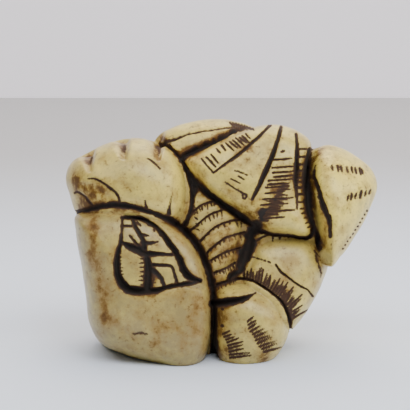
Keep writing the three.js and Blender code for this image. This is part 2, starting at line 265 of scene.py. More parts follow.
def castSkin(cells, side, silhouette):
    # side -1 is the front. Place = core + t * ray, where the ray is inset * sin(fan) outwards and
    # reach * cos(fan) in depth, and t is the outermost crossing of the forms' surface.
    ring, angle = discGrid(cells)
    ux, uu = np.cos(angle), np.sin(angle)
    core = silhouette(angle) - skin["inset"]
    flat = skin["flatShare"]
    coreX = skin["centre"][0] + core * np.minimum(ring / flat, 1) * ux
    coreUp = skin["centre"][1] + core * np.minimum(ring / flat, 1) * uu
    past = np.maximum(ring - flat, 0) / (1 - flat)
    fan = math.pi / 2 * ((1 - skin["bend"]) * past + skin["bend"] * past**2)
    reach = skin["frontReach"] if side < 0 else skin["backReach"]
    rayX, rayUp = skin["inset"] * np.sin(fan) * ux, skin["inset"] * np.sin(fan) * uu
    rayDepth = side * reach * np.cos(fan)
    t = np.full(ring.shape, skin["nearest"])
    waiting = np.ones(ring.shape, bool)
    at = skin["farthest"]
    while at > skin["nearest"] and waiting.any():
        i = np.nonzero(waiting)
        inside = isInside(coreX[i] + at * rayX[i], coreUp[i] + at * rayUp[i],
                          skin["coreDepth"] + at * rayDepth[i])
        t[i] = np.where(inside, at, t[i])
        waiting[i] = ~inside
        at -= skin["searchStep"]
    low, high = t, t + skin["searchStep"]
    for _ in range(skin["halvings"]):
        middle = (low + high) / 2
        inside = isInside(coreX + middle * rayX, coreUp + middle * rayUp,
                          skin["coreDepth"] + middle * rayDepth)
        low, high = np.where(inside, middle, low), np.where(inside, high, middle)
    length = np.sqrt(rayX**2 + rayUp**2 + rayDepth**2)
    place = np.stack([coreX + low * rayX, coreUp + low * rayUp,
                      skin["coreDepth"] + low * rayDepth], axis=-1)
    ray = np.stack([rayX, rayUp, rayDepth], axis=-1) / length[..., None]
    return place, ray


silhouette = silhouetteRadius()
frontPlace, frontRay = castSkin(skin["frontCells"], -1, silhouette)
backPlace, backRay = castSkin(skin["frontCells"] // 2, 1, silhouette)
print("skin cast on the forms:", frontPlace.shape, backPlace.shape)


def softNoise(x, up, size, seed):
    # random heights on a square lattice, blended between its corners by 3t^2 - 2t^3, from -1 to 1
    cells = 64
    lattice = np.random.default_rng(seed).uniform(-1, 1, (cells, cells))
    column, row = np.floor(x / size).astype(int), np.floor(up / size).astype(int)
    s, t = x / size - column, up / size - row
    s, t = s * s * (3 - 2 * s), t * t * (3 - 2 * t)
    left, right = column % cells, (column + 1) % cells
    lower, upper = row % cells, (row + 1) % cells
    below = lattice[left, lower] * (1 - s) + lattice[right, lower] * s
    above = lattice[left, upper] * (1 - s) + lattice[right, upper] * s
    return below * (1 - t) + above * t


# A cut is a line of places in the relief with a width along it (mm) and a depth. ink is how full of
# ink it is, fray how far its rim runs out in spikes, and lap how much the side to the left of the line
# stands above the side to the right, as cloth laid over cloth.
cuts = {"front": [], "back": []}
# A fold is a broad soft valley without ink: a line with a width and a depth.
folds = {"front": [], "back": []}


def smoothLine(corners, steps=8):
    # Catmull-Rom from corner to corner, its ends carried on straight
    corners = np.array(corners, float)
    if len(corners) == 2:
        return corners[0] + np.linspace(0, 1, steps)[:, None] * (corners[1] - corners[0])
    padded = np.vstack([2 * corners[0] - corners[1], corners, 2 * corners[-1] - corners[-2]])
    p0, p1, p2, p3 = (padded[i:len(padded) - 3 + i, None] for i in range(4))
    t = (np.arange(steps) / steps)[None, :, None]
    line = 0.5 * (2 * p1 + (p2 - p0) * t + (2 * p0 - 5 * p1 + 4 * p2 - p3) * t**2
                  + (3 * p1 - p0 - 3 * p2 + p3) * t**3)
    return np.vstack([line.reshape(-1, corners.shape[1]), corners[-1]])


def cut(corners, width, depth, ink=1.0, fray=0.05, lap=0.0, side="front"):
    cuts[side].append(dict(line=smoothLine(corners), width=np.atleast_1d(width), depth=depth,
                           ink=ink, fray=fray, lap=lap))


def fold(corners, width, depth, side="front"):
    folds[side].append(dict(line=smoothLine(corners), width=np.atleast_1d(width), depth=depth))


def outlineLine(form, start, end, outside, corners=24):
    # a form's outline from one angle to another in degrees: its radius and the way outside it
    angle = np.radians(np.linspace(start, end, corners))
    reach = form["radius"](angle) + outside
    return np.stack([form["centre"][0] + reach * np.cos(angle),
                     form["centre"][1] + reach * np.sin(angle)], axis=-1)


def comb(corners, count, length, heading, width, depth, ink=1.0, seed=0, jitter=0.25):
    # count short cuts spaced along a line. length and heading (degrees) run from its start to its
    # end. A jitter of 1 lets a cut stray by 25 degrees, its whole length and its whole width
    random = np.random.default_rng(seed)
    line = smoothLine(corners)
    along = np.concatenate([[0], np.cumsum(np.hypot(*np.diff(line, axis=0).T))])
    for k in range(count):
        part = k / max(count - 1, 1)
        at = part * along[-1]
        start = np.array([np.interp(at, along, line[:, 0]), np.interp(at, along, line[:, 1])])
        stray = random.uniform(-1, 1, 3) * jitter
        angle = math.radians(np.interp(part, [0, 1], heading) + 25 * stray[0])
        run = np.interp(part, [0, 1], length) * (1 + stray[1])
        end = start + run * np.array([math.cos(angle), math.sin(angle)])
        cut([start, end], [width * 0.9, width * (1 + stray[2]), width * 0.4], depth, ink, 0.02)


# creases where one form stands in front of the next
cut(outlineLine(forms["sleeve"], 133, 52, 0.42), [0.4, 0.8, 0.95, 0.85, 0.8, 0.9, 1.05], 0.8,
    fray=0.12)
cut(outlineLine(forms["sleeve"], 52, 4, 0.42), [1.05, 0.9, 0.85, 0.9], 0.8, fray=0.12)
cut([(-1.3, 11.8), (-1, 8), (-1, 5), (-1, 2.5), (-1.15, 0.8), (-1.25, -0.8)],
    [0.9, 0.85, 0.8, 0.8, 1.1, 2.2], 1.2, fray=0.1)
cut(outlineLine(forms["hood"], -34, 68, 0.28), [0.55, 0.7, 0.65, 0.5, 0.55], 0.7, fray=0.1)
cut(outlineLine(forms["fan"], 98, 165, 0.4), [0.3, 0.55, 0.75, 0.9, 0.95, 0.7], 0.75, fray=0.18)
cut(outlineLine(forms["fan"], 172, 275, 0.38), [0.5, 0.85, 0.9, 0.95, 1.1, 0.5], 0.8, fray=0.12)
cut(outlineLine(forms["fan"], 275, 318, 0.15), [0.45, 0.38, 0.38, 0.6], 0.6)
cut([(12.3, 30.2), (12.1, 29), (11.85, 27.5), (11.8, 26), (12, 24), (12.2, 22), (12.7, 20),
     (13.25, 18.7)], [0.3, 0.95, 1.15, 1.15, 1.1, 1, 0.75, 0.5], 0.7, fray=0.15)
cut([(13.25, 18.7), (13.7, 17), (14.2, 15.6), (14.9, 14)], [0.6, 0.85, 0.9, 0.6], 0.6, fray=0.1)
cut([(-0.7, 11.3), (1, 11.75), (2.6, 12.1), (4.3, 11.8), (5.6, 11.1), (7.2, 10), (8.5, 8.8),
     (9.3, 7.2), (9.7, 5.8), (9.7, 4.6)], [0.35, 0.35, 0.4, 0.4, 0.35, 0.4, 0.5, 0.4], 0.8,
    fray=0.08)
cut([(4.9, 19.5), (4.1, 18.2), (3.7, 16.5), (3.2, 14.9), (2.5, 13.4), (1.4, 12.3)],
    [1.1, 1.5, 1.7, 1.9, 1.5, 0.9], 1.2, fray=0.4)
cut([(-4.1, 26.2), (-3.7, 24.9), (-3.9, 23.6)], [0.5, 1.3, 0.6], 0.8, fray=0.12)

# the band behind: a long line, a dark root and a few slanting nicks
cut([(-8.4, 31.3), (-6.9, 31.45), (-5.2, 32.15), (-3.1, 32.6), (-1.3, 32.9), (0.7, 33.2),
     (2.4, 33.3)], [0.5, 0.5, 0.36, 0.32, 0.3, 0.24], 0.4, lap=-0.15)
cut([(-9.3, 31.15), (-7.6, 31.2)], [0.3, 0.6, 0.3], 0.3)
comb([(1.2, 34), (4, 33.4)], 8, (1.1, 0.8), (-42, -35), 0.26, 0.2, seed=1)

# the hood: two hem lines, a fine one, nicks along its lower edge and gathers on its crown
cut([(-18.7, 26.07), (-17.9, 26.1), (-16.9, 25.7), (-15.9, 25), (-14.9, 24.2), (-14.4, 23.5),
     (-14.2, 22.7)], [0.16, 0.26, 0.3, 0.3, 0.28], 0.3, lap=0.2)
cut([(-20.6, 24.1), (-20.1, 24.2), (-19.2, 23.7), (-18.7, 23.1), (-18.1, 22.4)], [0.22, 0.26, 0.3],
    0.3, lap=0.15)
cut([(-10.35, 28.9), (-9.5, 28.4), (-8.6, 27.5)], [0.16, 0.26, 0.16], 0.15, 0.9)
cut([(-10.7, 23), (-10.5, 22)], [0.16, 0.34], 0.25)
cut([(-7, 23.6), (-7.15, 22.5), (-7.36, 21.2)], [0.14, 0.26, 0.6], 0.3)
for x, up in ((-18.8, 29.3), (-13.9, 31), (-9.1, 30.9)):
    fold([(x - 0.2, up + 1.4), (x, up), (x + 0.25, up - 2)], [3.2, 2.8, 1], 0.9)
    cut([(x, up), (x + 0.05, up - 0.6), (x + 0.15, up - 1.2)], [0.2, 0.32, 0.1], 0.1, 0.35,
        fray=0.25)
fold([(-19.6, 25.2), (-18, 24.9), (-16, 23.6)], [1.2, 1.6, 1.2], 0.2)

# the fan's pleats
cut([(-1.14, 26.9), (0.4, 28), (1.8, 29), (3.2, 30.1), (4.6, 31.4), (5.7, 32.4), (6.8, 33.5)],
    [0.22, 0.36, 0.46, 0.48, 0.48, 0.4], 0.45, lap=-0.3)
cut([(-1.14, 26.9), (-2, 27.9), (-2.8, 28.85)], [0.22, 0.22, 0.18], 0.25, lap=0.15)
cut([(4.3, 23.2), (5, 24.5), (5.7, 26.05), (6.4, 27.6), (7.1, 29.3), (7.8, 31.2), (8.4, 33.3)],
    [0.35, 0.6, 0.75, 0.7, 0.55, 0.45], 0.6, lap=0.35)
cut([(10.6, 21.85), (10.55, 23.4), (10.35, 25.5), (10.5, 27.6), (10.6, 29.7), (10.6, 31.1),
     (10.5, 32.3)], [0.24, 0.45, 0.7, 0.75, 0.6, 0.4], 0.7, lap=0.2)

# the fan's hatching: nicks in the upper strip, rungs by the right edge, rows between the pleats
for start, end in [
        ((-2.1, 29.1), (-0.85, 27.75)), ((-1.45, 29.5), (-0.5, 28.3)), ((-0.7, 30.3), (-0.2, 29.7)),
        ((0, 30.75), (0.55, 30.05)), ((0.55, 31.1), (1.7, 30)), ((1.2, 31.3), (2.2, 30.4)),
        ((1.6, 31.5), (2.65, 30.5)), ((2, 31.8), (3.1, 30.9)), ((2.5, 31.9), (3.5, 31.2)),
        ((2.9, 32.1), (3.9, 31.2)), ((3.4, 32.4), (4.05, 31.8))]:
    cut([start, end], [0.2, 0.3, 0.2], 0.18)
for height in [30.3, 29.2, 28.1, 27.2, 26.2, 25.6, 24.8, 23.9, 22.8]:
    cut([(10.8, height), (11.8, height)], [0.3, 0.22, 0.3], 0.3)
for height, start, end in [
        (28.8, 7.2, 9.8), (27.7, 7.1, 10), (27, 7.2, 10), (26.4, 7.3, 9.9), (25.9, 6.6, 9.8),
        (25.35, 6.5, 9.5), (24.9, 6.2, 8.9), (24.1, 6.1, 8.3), (23.3, 5.8, 10), (22.5, 5.5, 9.3),
        (21.6, 7, 10.2), (20.6, 5.9, 8.8)]:
    cut([(start, height - 0.1), ((start + end) / 2, height), (end, height + 0.1)],
        [0.22, 0.26, 0.26, 0.16], 0.2)
# two smears of ink in the rows, with strokes to both sides
cut([(5.3, 20.1), (5.8, 20.9), (6.5, 21.9)], [0.3, 0.8, 0.2], 0.25, fray=0.55)
cut([(7.5, 23.2), (8.1, 24.2), (8.7, 25.1)], [0.2, 0.75, 0.3], 0.25, fray=0.55)
comb([(6.2, 20.4), (8.7, 24.9)], 12, (1, 0.8), (184, 176), 0.28, 0.2, seed=26, jitter=0.5)
comb([(5.6, 20.2), (8.6, 25.2)], 17, (1.6, 1.3), (5, -5), 0.3, 0.2, seed=25, jitter=0.4)
# a dot, nicks on the rim, and fine strokes with a small ring at the end of the longest
cut([(8.4, 29.85), (8.8, 29.95)], [0.2, 0.35, 0.2], 0.1, 0.9)
comb([(11.5, 21.9), (12.5, 19.4)], 5, (0.6, 0.5), (190, 200), 0.24, 0.3, seed=2)
cut([(0.5, 25.6), (1.7, 24.8), (2.9, 24.1)], [0.16, 0.24, 0.24], 0.12, 0.9)
cut([(1.3, 26.1), (2.65, 25.4)], [0.14, 0.22, 0.14], 0.1, 0.9)
cut([(1.9, 27.2), (3.6, 26.6)], [0.1, 0.16, 0.1], 0.1, 0.6)
cut([(2.4, 26.4), (3.2, 26)], [0.14, 0.22, 0.14], 0.1, 0.9)
cut([(2.95, 23.75), (3.2, 23.95), (3.5, 23.7), (3.3, 23.3), (3, 23.4)], [0.26], 0.1, 0.9)

# the ribbed band: cuts across it, each with short nicks hanging from it, and swollen cloth between
ribs = [
    [(-4.2, 21.2), (-3.2, 22.1), (-2.3, 22.6), (-1.1, 22.9)],
    [(-4.4, 18.8), (-3.5, 19.5), (-2.4, 20.45), (-1.3, 21.15), (0, 21.65)],
    [(-3, 17.3), (-2.3, 18), (-1.3, 19), (0, 19.75), (1.5, 20.2), (2.8, 20.4)],
    [(-2.1, 15.6), (-1.5, 16.2), (-0.5, 17.05), (0.6, 17.8), (1.9, 18.25), (3.3, 18.6)],
    [(-1.5, 14.6), (-0.1, 15.45), (0.9, 15.9), (2.6, 16.4)],
    [(-1.1, 12.9), (0.2, 13.4), (1.9, 14.3)],
    [(-0.9, 10.9), (0.2, 11.5), (2, 12.4)],
]
for i, rib in enumerate(ribs):
    cut(rib, [0.28, 0.26, 0.24, 0.3], 0.35)
    fold(rib, 1.5, 0.3)
    comb(rib, 9, (0.4, 0.8), (-70, -80), 0.17, 0.2, 0.9, seed=10 + i, jitter=0.5)
comb([(-4.1, 22.4), (-3.4, 19)], 5, (0.5, 0.5), (-40, -30), 0.18, 0.2, seed=20)

# the drop: its slit, two rows of nicks and a row of dots
cut([(13.2, 28), (13, 26.7), (13.2, 25.6), (13.66, 24.2), (14.1, 22.8), (14.6, 21.5), (15.1, 20.3),
     (15.25, 19.15), (15.3, 18)], [0.25, 0.5, 0.7, 0.72, 0.6, 0.4], 0.6, fray=0.12, lap=0.35)
nicks = [0.2, 0.32, 0.2]
for x, tall, inky in [(15.5, 0.6, 0.5), (16.3, 0.8, 0.95), (16.8, 0.7, 0.7), (17.6, 0.7, 0.6),
                      (18.25, 0.8, 0.95), (18.8, 0.8, 1), (19.4, 0.9, 1), (19.7, 0.6, 1)]:
    height = 27.55 - 0.12 * (x - 16)
    cut([(x - 0.1, height + tall / 2), (x + 0.1, height - tall / 2)], nicks, 0.2, inky)
for x, tall, inky in [(17.7, 0.7, 0.7), (18.2, 0.8, 0.8), (18.8, 0.7, 1), (19.5, 1, 1),
                      (20.2, 0.7, 1), (20.8, 0.5, 0.7)]:
    height = 23.4 + 0.26 * (x - 17.7)
    cut([(x + 0.08, height + tall / 2), (x - 0.12, height - tall / 2)], nicks, 0.2, inky)
comb([(20.4, 21.6), (18.8, 19), (17, 16.3)], 11, (0.14, 0.14), (-125, -125), 0.24, 0.2, seed=3)

# the knee: its slot, two rows of nicks and two dots
cut([(-1.2, 8.65), (0.2, 8.75), (1.8, 8.95), (3.2, 9.3), (4.8, 10.05)],
    [1.05, 1.15, 1.1, 0.75, 0.2], 1.3, fray=0.1)
comb([(3.65, 6.1), (3.9, 4.95), (4.6, 3.9), (5.1, 2.9), (5.9, 1.8)], 11, (1.1, 2.5), (35, 15), 0.28,
    0.2, 1, seed=4, jitter=0.15)
comb([(0.2, 4.3), (0.8, 3.2), (1.1, 2), (1.2, 1)], 9, (1, 2.7), (25, 5), 0.28, 0.2, 1, seed=5,
    jitter=0.15)
for spot in [(0.06, 5.5), (0.1, 7.8)]:
    cut([spot, (spot[0] + 0.1, spot[1])], [0.3], 0.1)

# the drape: one long fold, stitches, nicks fanning out from the knee and more on its upper edges
cut([(7.6, 14), (8.3, 13.1), (9.2, 12.4), (10.1, 11.7), (11.1, 11), (12.1, 10.5), (12.8, 9.6)],
    [0.24, 0.3, 0.24, 0.2, 0.18], 0.3, lap=0.15)
comb([(4.4, 15.1), (6.5, 14.5)], 5, (0.35, 0.35), (-10, -20), 0.18, 0.1, 0.8, seed=6)
comb([(3.2, 12.3), (5.4, 11.6), (7.6, 10.1), (9.2, 8.2), (9.8, 6.4)], 24, (1.1, 2.3), (95, 35),
    0.28, 0.25, 1, seed=7, jitter=0.35)
comb([(5, 11.7), (7.6, 10.2), (9.5, 8)], 12, (1.5, 2), (75, 48), 0.2, 0.15, 0.95, seed=8,
    jitter=0.35)
comb([(8.6, 9.2), (9.9, 6.2)], 10, (1.3, 1.2), (100, 80), 0.2, 0.15, 0.9, seed=31, jitter=0.5)
for start, end in [((7.2, 18.3), (7.2, 17.3)), ((8.1, 18.2), (8.15, 17.7)),
                   ((9.3, 18.2), (9.35, 17.8))]:
    cut([start, end], [0.28, 0.18], 0.2)
comb([(4.6, 17.2), (5.9, 18)], 4, (0.9, 0.9), (35, 20), 0.22, 0.2, 0.9, seed=9)
comb([(13, 16), (14, 13)], 6, (0.9, 1.1), (-60, -110), 0.16, 0.12, 0.8, seed=21, jitter=0.6)

# the sleeve: a faint dash, and the lines that part the cloth and hand inside its mouth
cut([(-12.3, 4.35), (-11.4, 4.5), (-10.5, 4.35)], [0.15, 0.3, 0.15], 0.05, 0.5)
cut([(-13.9, 20.55), (-12, 20.6), (-10.6, 20.2), (-9.3, 19.4), (-8.2, 18.2), (-7.2, 16.9),
     (-6.3, 15.6), (-5.7, 14.4), (-5.2, 13.2), (-4.4, 12.3), (-3, 11.8)],
    [0.43, 0.65, 0.7, 0.76, 0.86, 0.97, 1.08, 0.65], 0.9, fray=0.12)
cut([(-2.9, 11.7), (-4.1, 11.5), (-5.5, 11.25), (-7.1, 11), (-8.8, 10.5), (-10.5, 10.35),
     (-12, 10.35), (-13.2, 10.75), (-14.05, 11.6), (-14.55, 12.8), (-14.65, 14.2), (-14.5, 15.6),
     (-14.15, 17), (-13.95, 18.5), (-13.9, 20.5)],
    [0.43, 0.65, 0.65, 0.81, 1.13, 1.24, 1.24, 1.03, 0.76, 0.54, 0.38, 0.38], 0.9, fray=0.12)
cut([(-10.5, 15.3), (-10.3, 13.8), (-10.25, 12.3), (-10.4, 10.7)], [0.88, 1.25, 1.31, 1.38], 0.9,
    fray=0.16)
cut([(-14.1, 17.2), (-12.8, 16.6), (-11.6, 16.1), (-10.8, 15.6), (-9.2, 15.55), (-6.9, 15.45)],
    [0.44, 1.06, 1.25, 0.94, 0.5, 0.44], 0.8, fray=0.08)
cut([(-12.4, 20.3), (-12, 19.2), (-11.4, 18.2), (-10.9, 17.2), (-10.9, 16.3)],
    [0.5, 0.62, 0.62, 0.69, 1], 0.6)
cut([(-11.5, 18.25), (-10.2, 18.1)], [0.56, 0.38, 0.18], 0.4)
cut([(-11, 17.1), (-10, 17.05), (-8.9, 17.25)], [0.81, 0.56, 0.18], 0.4)
cut([(-13.8, 19.45), (-12.6, 19.45)], [0.3], 0.25)
cut([(-12.8, 18.1), (-12.1, 17.2), (-11.3, 16.4)], [0.25, 0.43, 0.5], 0.4)
cut([(-11.8, 19.95), (-11.3, 19.55)], [0.38, 0.22], 0.2)
cut([(-9.35, 19.5), (-9.4, 18.75)], [0.35, 0.2], 0.2)
cut([(-9.6, 14), (-8, 13.95), (-7.1, 13.85), (-6.7, 13.1), (-6.3, 11.7)],
    [0.56, 0.43, 0.38, 0.38, 0.45], 0.4)
cut([(-9.7, 13.3), (-8.9, 12.6), (-8.3, 11.8), (-8.1, 11)], [0.88, 0.69, 0.5, 0.44], 0.4, fray=0.12)
comb([(-10.8, 15.5), (-10.9, 11.2)], 8, (0.6, 0.6), (180, 180), 0.2, 0.25, seed=22)
comb([(-14.5, 15.6), (-14.2, 12.2)], 8, (0.45, 0.45), (0, 0), 0.16, 0.2, 0.9, seed=23)
comb([(-9.6, 12.5), (-9.6, 11.5)], 4, (0.4, 0.4), (30, 0), 0.16, 0.1, 0.9, seed=24)

# the plain back: three robe folds with a thin line in each, and a worn dish round each cord hole
cordHoles = {
    "upper": (2.8, 21), "lower": (1.2, 13.5),
    "bore": 3.2,
    "reach": 4.6,  # how deep the tunnel dips between them
    "lead": 2,  # how far its tube stands out of each hole
    "flare": 0.35,  # how much wider the tunnel is at its mouths, as a share
    "flareReach": 1.2,  # mm over which that closes in
    "dish": (5.6, 0.5),  # width and depth
    "slack": 1.03,  # points up to this many radii from the path count as the tunnel's wall
    "inside": {"ink": 0.0, "patina": 0.75, "worn": 0.0, "tone": 0.14},  # brown and unworn
}
for corners in ([(13, 27), (10.4, 23.2), (7, 19), (4.6, 14), (3.4, 9)],
                [(4, 31), (1, 26.6), (-1, 22), (-2.4, 16), (-3, 10)],
                [(-8, 29), (-10.2, 24.6), (-11, 20), (-11, 14), (-10, 8)]):
    fold(corners, [1.6, 3.2, 3.4, 3, 1.4], 0.6, side="back")
    cut(corners, [0.16, 0.34, 0.42, 0.36, 0.14], 0.3, 0.8, lap=0.2, side="back")
for hole in (cordHoles["upper"], cordHoles["lower"]):
    fold([hole, (hole[0], hole[1] - 0.1)], *cordHoles["dish"], side="back")


def lineDistance(x, up, line):
    # distance to a line of places, how far along it the nearest place is (mm), and the side: 1 to the
    # left of its direction and -1 to the right
    start, step = line[:-1], np.diff(line, axis=0)
    length = np.hypot(step[:, 0], step[:, 1])
    px, pu = x[:, None] - start[:, 0], up[:, None] - start[:, 1]
    t = np.clip((px * step[:, 0] + pu * step[:, 1]) / length**2, 0, 1)
    squared = (px - t * step[:, 0])**2 + (pu - t * step[:, 1])**2
    nearest = squared.argmin(axis=1)
    rows = np.arange(len(x))
    run = np.concatenate([[0], np.cumsum(length)])
    along = run[nearest] + t[rows, nearest] * length[nearest]
    turned = step[nearest, 0] * pu[rows, nearest] - step[nearest, 1] * px[rows, nearest]
    return np.sqrt(squared[rows, nearest]), along, np.where(turned > 0, 1, -1), run[-1]


gouge = {
    "inkReach": 0.3,  # mm either side of a cut's rim over which the ink field falls
    "inkSpread": 0.04,  # mm by which ink has crept over the rim
    "spikes": [(0.45, 0.9, 41), (1.3, 0.8, 42)],  # mm from spike to spike, share of the fray, seed
    "soakWidth": 0.9,  # mm, cuts this wide and wider stain the ivory round them fully
    "soakFrom": (0.4, 0.2),  # ink field where soaking begins, and how much more soaks fully
    "backSoak": 0.6,  # share of the soaking on the back
    "lapReach": 1.6,  # mm over which a lap fades into the face
    "lapRim": 0.18,  # and over which it rises from the line
    "frontFade": (3.6, 3),  # depth at which the front's cuts are gone, and mm over which they fade
    "backFade": (3, 2),  # depth at which the back's cuts begin, and mm until they are full
    "fadeStray": (1.2, 0.9, 51),  # mm by which both depths stray, mm from bump to bump, seed
    "ripples": [(3.2, 0.05, 60), (1.1, 0.02, 61)],  # uneven knife work: mm long, mm high, seed
}


def nearLine(x, up, line, reach):
    # numbers of the places inside the line's box, widened by the reach
    low, high = line.min(axis=0) - reach, line.max(axis=0) + reach
    return np.nonzero((x > low[0]) & (x < high[0]) & (up > low[1]) & (up < high[1]))[0]


def carve(place, side):
    # How deep each place is cut, its ink field and how much ink soaks in there. A cut is a bowl
    # 1 - (away/half width)^2, the deepest one that reaches a place counts, and laps and folds add to
    # it. The ink field is 0.5 where the ink ends, just past a cut's rim, and rises inwards. Wide cuts
    # soak in most.
    x, up = place[:, 0], place[:, 1]
    bowl, sunk, ink, soak = (np.zeros(len(x)) for _ in range(4))
    dry, more = gouge["soakFrom"]
    for k, each in enumerate(cuts[side]):
        reach = each["width"].max() / 2 + gouge["inkReach"] + each["fray"]
        near = nearLine(x, up, each["line"], max(reach, 3 * gouge["lapReach"] * (each["lap"] != 0)))
        away, along, hand, length = lineDistance(x[near], up[near], each["line"])
        part = along / length
        half = np.interp(part, np.linspace(0, 1, len(each["width"])), each["width"]) / 2
        hollow = np.maximum(1 - (away / half)**2, 0) * np.minimum(half * 2 / each["width"].max(), 1)
        bowl[near] = np.maximum(bowl[near], each["depth"] * hollow)
        frayed = half
        for size, amount, seed in gouge["spikes"]:
            spikes = softNoise(along, 7.5 * hand + 3.1 * k, size, seed)  # unlike on the other side
            frayed = frayed + each["fray"] * amount * spikes
        field = 0.5 + each["ink"] * (frayed + gouge["inkSpread"] - away) / (2 * gouge["inkReach"])
        ink[near] = np.maximum(ink[near], field)
        wet = np.clip(2 * half / gouge["soakWidth"], 0, 1)**2 * np.clip((field - dry) / more, 0, 1)
        soak[near] = np.maximum(soak[near], wet)
        fade = np.exp(-away / gouge["lapReach"]) * np.minimum(away / gouge["lapRim"], 1)
        sunk[near] -= each["lap"] * hand * fade * np.sqrt(np.sin(np.pi * part))
    for each in folds[side]:
        near = nearLine(x, up, each["line"], each["width"].max() / 2)
        away, along, _, length = lineDistance(x[near], up[near], each["line"])
        half = np.interp(along / length, np.linspace(0, 1, len(each["width"])), each["width"]) / 2
        sunk[near] += each["depth"] * np.maximum(1 - (away / half)**2, 0)**2
    return bowl + sunk, ink, soak


# the sleeve's mouth: its floor lies under the sleeve's face
mouth = {
    "form": dict(
        centre=(-9.8, 14.8),
        outline=[(-5.1, 14.7), (-6.75, 17), (-8.6, 19.4), (-10.8, 20.6), (-13.9, 20.9), (-14.1, 18),
                 (-15, 15.5), (-15.2, 13), (-14.2, 10.8), (-12, 9.85), (-8.8, 10.1), (-5.5, 10.9),
                 (-2.7, 11.6), (-4.5, 12.9)]),
    "floorDepth": 0.45,
    "wallWidth": 0.05,  # share of the way out over which the floor rises to the rim
}
mouth["form"]["radius"] = outlineRadius(mouth["form"])

frontCount = frontPlace.shape[0] * frontPlace.shape[1]
place = np.concatenate([frontPlace.reshape(-1, 3), backPlace[1:-1, 1:-1].reshape(-1, 3)])
ray = np.concatenate([frontRay.reshape(-1, 3), backRay[1:-1, 1:-1].reshape(-1, 3)])
cutDepth, ink, soak = carve(place, "front")
outward = share(mouth["form"], place[:, 0], place[:, 1])[0]
inMouth = np.clip((1 - outward) / mouth["wallWidth"], 0, 1)
cutDepth = cutDepth + mouth["floorDepth"] * inMouth
# the front's cuts fade out just behind the silhouette, and the back's begin there
stray, size, seed = gouge["fadeStray"]
behind = place[:, 2] + stray * softNoise(place[:, 0], place[:, 1], size, seed)
gone, over = gouge["frontFade"]
facing = np.clip((gone - behind) / over, 0, 1) * (np.arange(len(place)) < frontCount)
begun, over = gouge["backFade"]
backward = np.clip((behind - begun) / over, 0, 1)
rearDepth, rearInk, rearSoak = carve(place, "back")
cutDepth, ink, soak = (a * facing + b * backward for a, b in
                       ((cutDepth, rearDepth), (ink, rearInk), (soak, gouge["backSoak"] * rearSoak)))
for size, height, seed in gouge["ripples"]:
    cutDepth = cutDepth + height * softNoise(place[:, 0] + place[:, 2], place[:, 1], size, seed)
place = place - ray * cutDepth[:, None]
print("carved with", sum(map(len, cuts.values())), "cuts and",
      sum(map(len, folds.values())), "folds")


def skinFaces(cells):
    # quads over the front grid, quads over the back grid reversed, and the back's outer cells take in
    # the front rim's extra points, so the two halves share one rim
    n = cells + 1
    front = np.arange(n * n).reshape(n, n)
    half = cells // 2
    back = np.full((half + 1, half + 1), -1)
    back[1:-1, 1:-1] = n * n + np.arange((half - 1) ** 2).reshape(half - 1, half - 1)
    for edge in (np.s_[0, :], np.s_[-1, :], np.s_[:, 0], np.s_[:, -1]):
        back[edge] = front[::2, ::2][edge]
    quads = np.stack([front[:-1, :-1], front[1:, :-1], front[1:, 1:], front[:-1, 1:]], -1)
    between = np.full((4, half, half), -1)
    between[0][:, 0] = front[1::2, 0]
    between[1][-1, :] = front[-1, 1::2]
    between[2][:, -1] = front[1::2, -1]
    between[3][0, :] = front[0, 1::2]
    rings = np.stack([back[:-1, :-1], between[0], back[1:, :-1], between[1],
                      back[1:, 1:], between[2], back[:-1, 1:], between[3]], -1)
    rings = rings.reshape(-1, 8)[:, ::-1]
    loops = np.concatenate([quads.ravel(), rings[rings >= 0]])
    totals = np.concatenate([np.full(cells * cells, 4), (rings >= 0).sum(axis=1)])
    return loops, totals


def meshPiece(name, points, loops, totals):
    # a smooth mesh from its points, every face's corners in one row, and each face's corner count
    mesh = bpy.data.meshes.new(name)
    mesh.vertices.add(len(points))
    mesh.vertices.foreach_set("co", points.astype(np.float32).ravel())
    mesh.loops.add(len(loops))
    mesh.loops.foreach_set("vertex_index", loops.astype(np.int32))
    mesh.polygons.add(len(totals))
    starts = np.concatenate([[0], np.cumsum(totals)[:-1]])
    mesh.polygons.foreach_set("loop_start", starts.astype(np.int32))
    mesh.polygons.foreach_set("loop_total", totals.astype(np.int32))
    mesh.polygons.foreach_set("use_smooth", np.ones(len(totals), bool))
    mesh.update(calc_edges=True)
    piece = bpy.data.objects.new(name, mesh)
    bpy.context.scene.collection.objects.link(piece)
    return piece


points = toPiece(place[:, 0], place[:, 1], place[:, 2])
points[:, 2] = np.maximum(points[:, 2], 0)  # the foot is cut off flat
low, high = points.min(axis=0) * mm, points.max(axis=0) * mm
middle = [(cadBox[0][i] + cadBox[1][i]) / 2 - (low[i] + high[i]) / 2 for i in (0, 1)]
shift = np.array(middle + [0.0])  # centres the carving on the CAD box
loops, totals = skinFaces(skin["frontCells"])
netsuke = meshPiece("netsuke_carving", points * mm + shift, loops, totals)
edges = np.empty(len(netsuke.data.edges) * 2, np.int32)
netsuke.data.edges.foreach_get("vertices", edges)
edges = edges.reshape(-1, 2)
normals = np.empty(len(points) * 3, np.float32)
netsuke.data.vertex_normals.foreach_get("vector", normals)
normals = normals.reshape(-1, 3)


def spreadOut(values, times):
    # each point takes half its own value and half the mean of its neighbours', over and over
    a, b = edges.T
    n = len(points)
    neighbours = np.bincount(a, minlength=n) + np.bincount(b, minlength=n)
    for _ in range(times):
        total = np.bincount(a, values[b], n) + np.bincount(b, values[a], n)
        values = (values + total / neighbours) / 2
    return values


evenRounds = 40
evened = np.stack([spreadOut(points[:, i], evenRounds) for i in range(3)], axis=1)
hollow = ((evened - points) * normals).sum(axis=1)  # mm, positive in creases

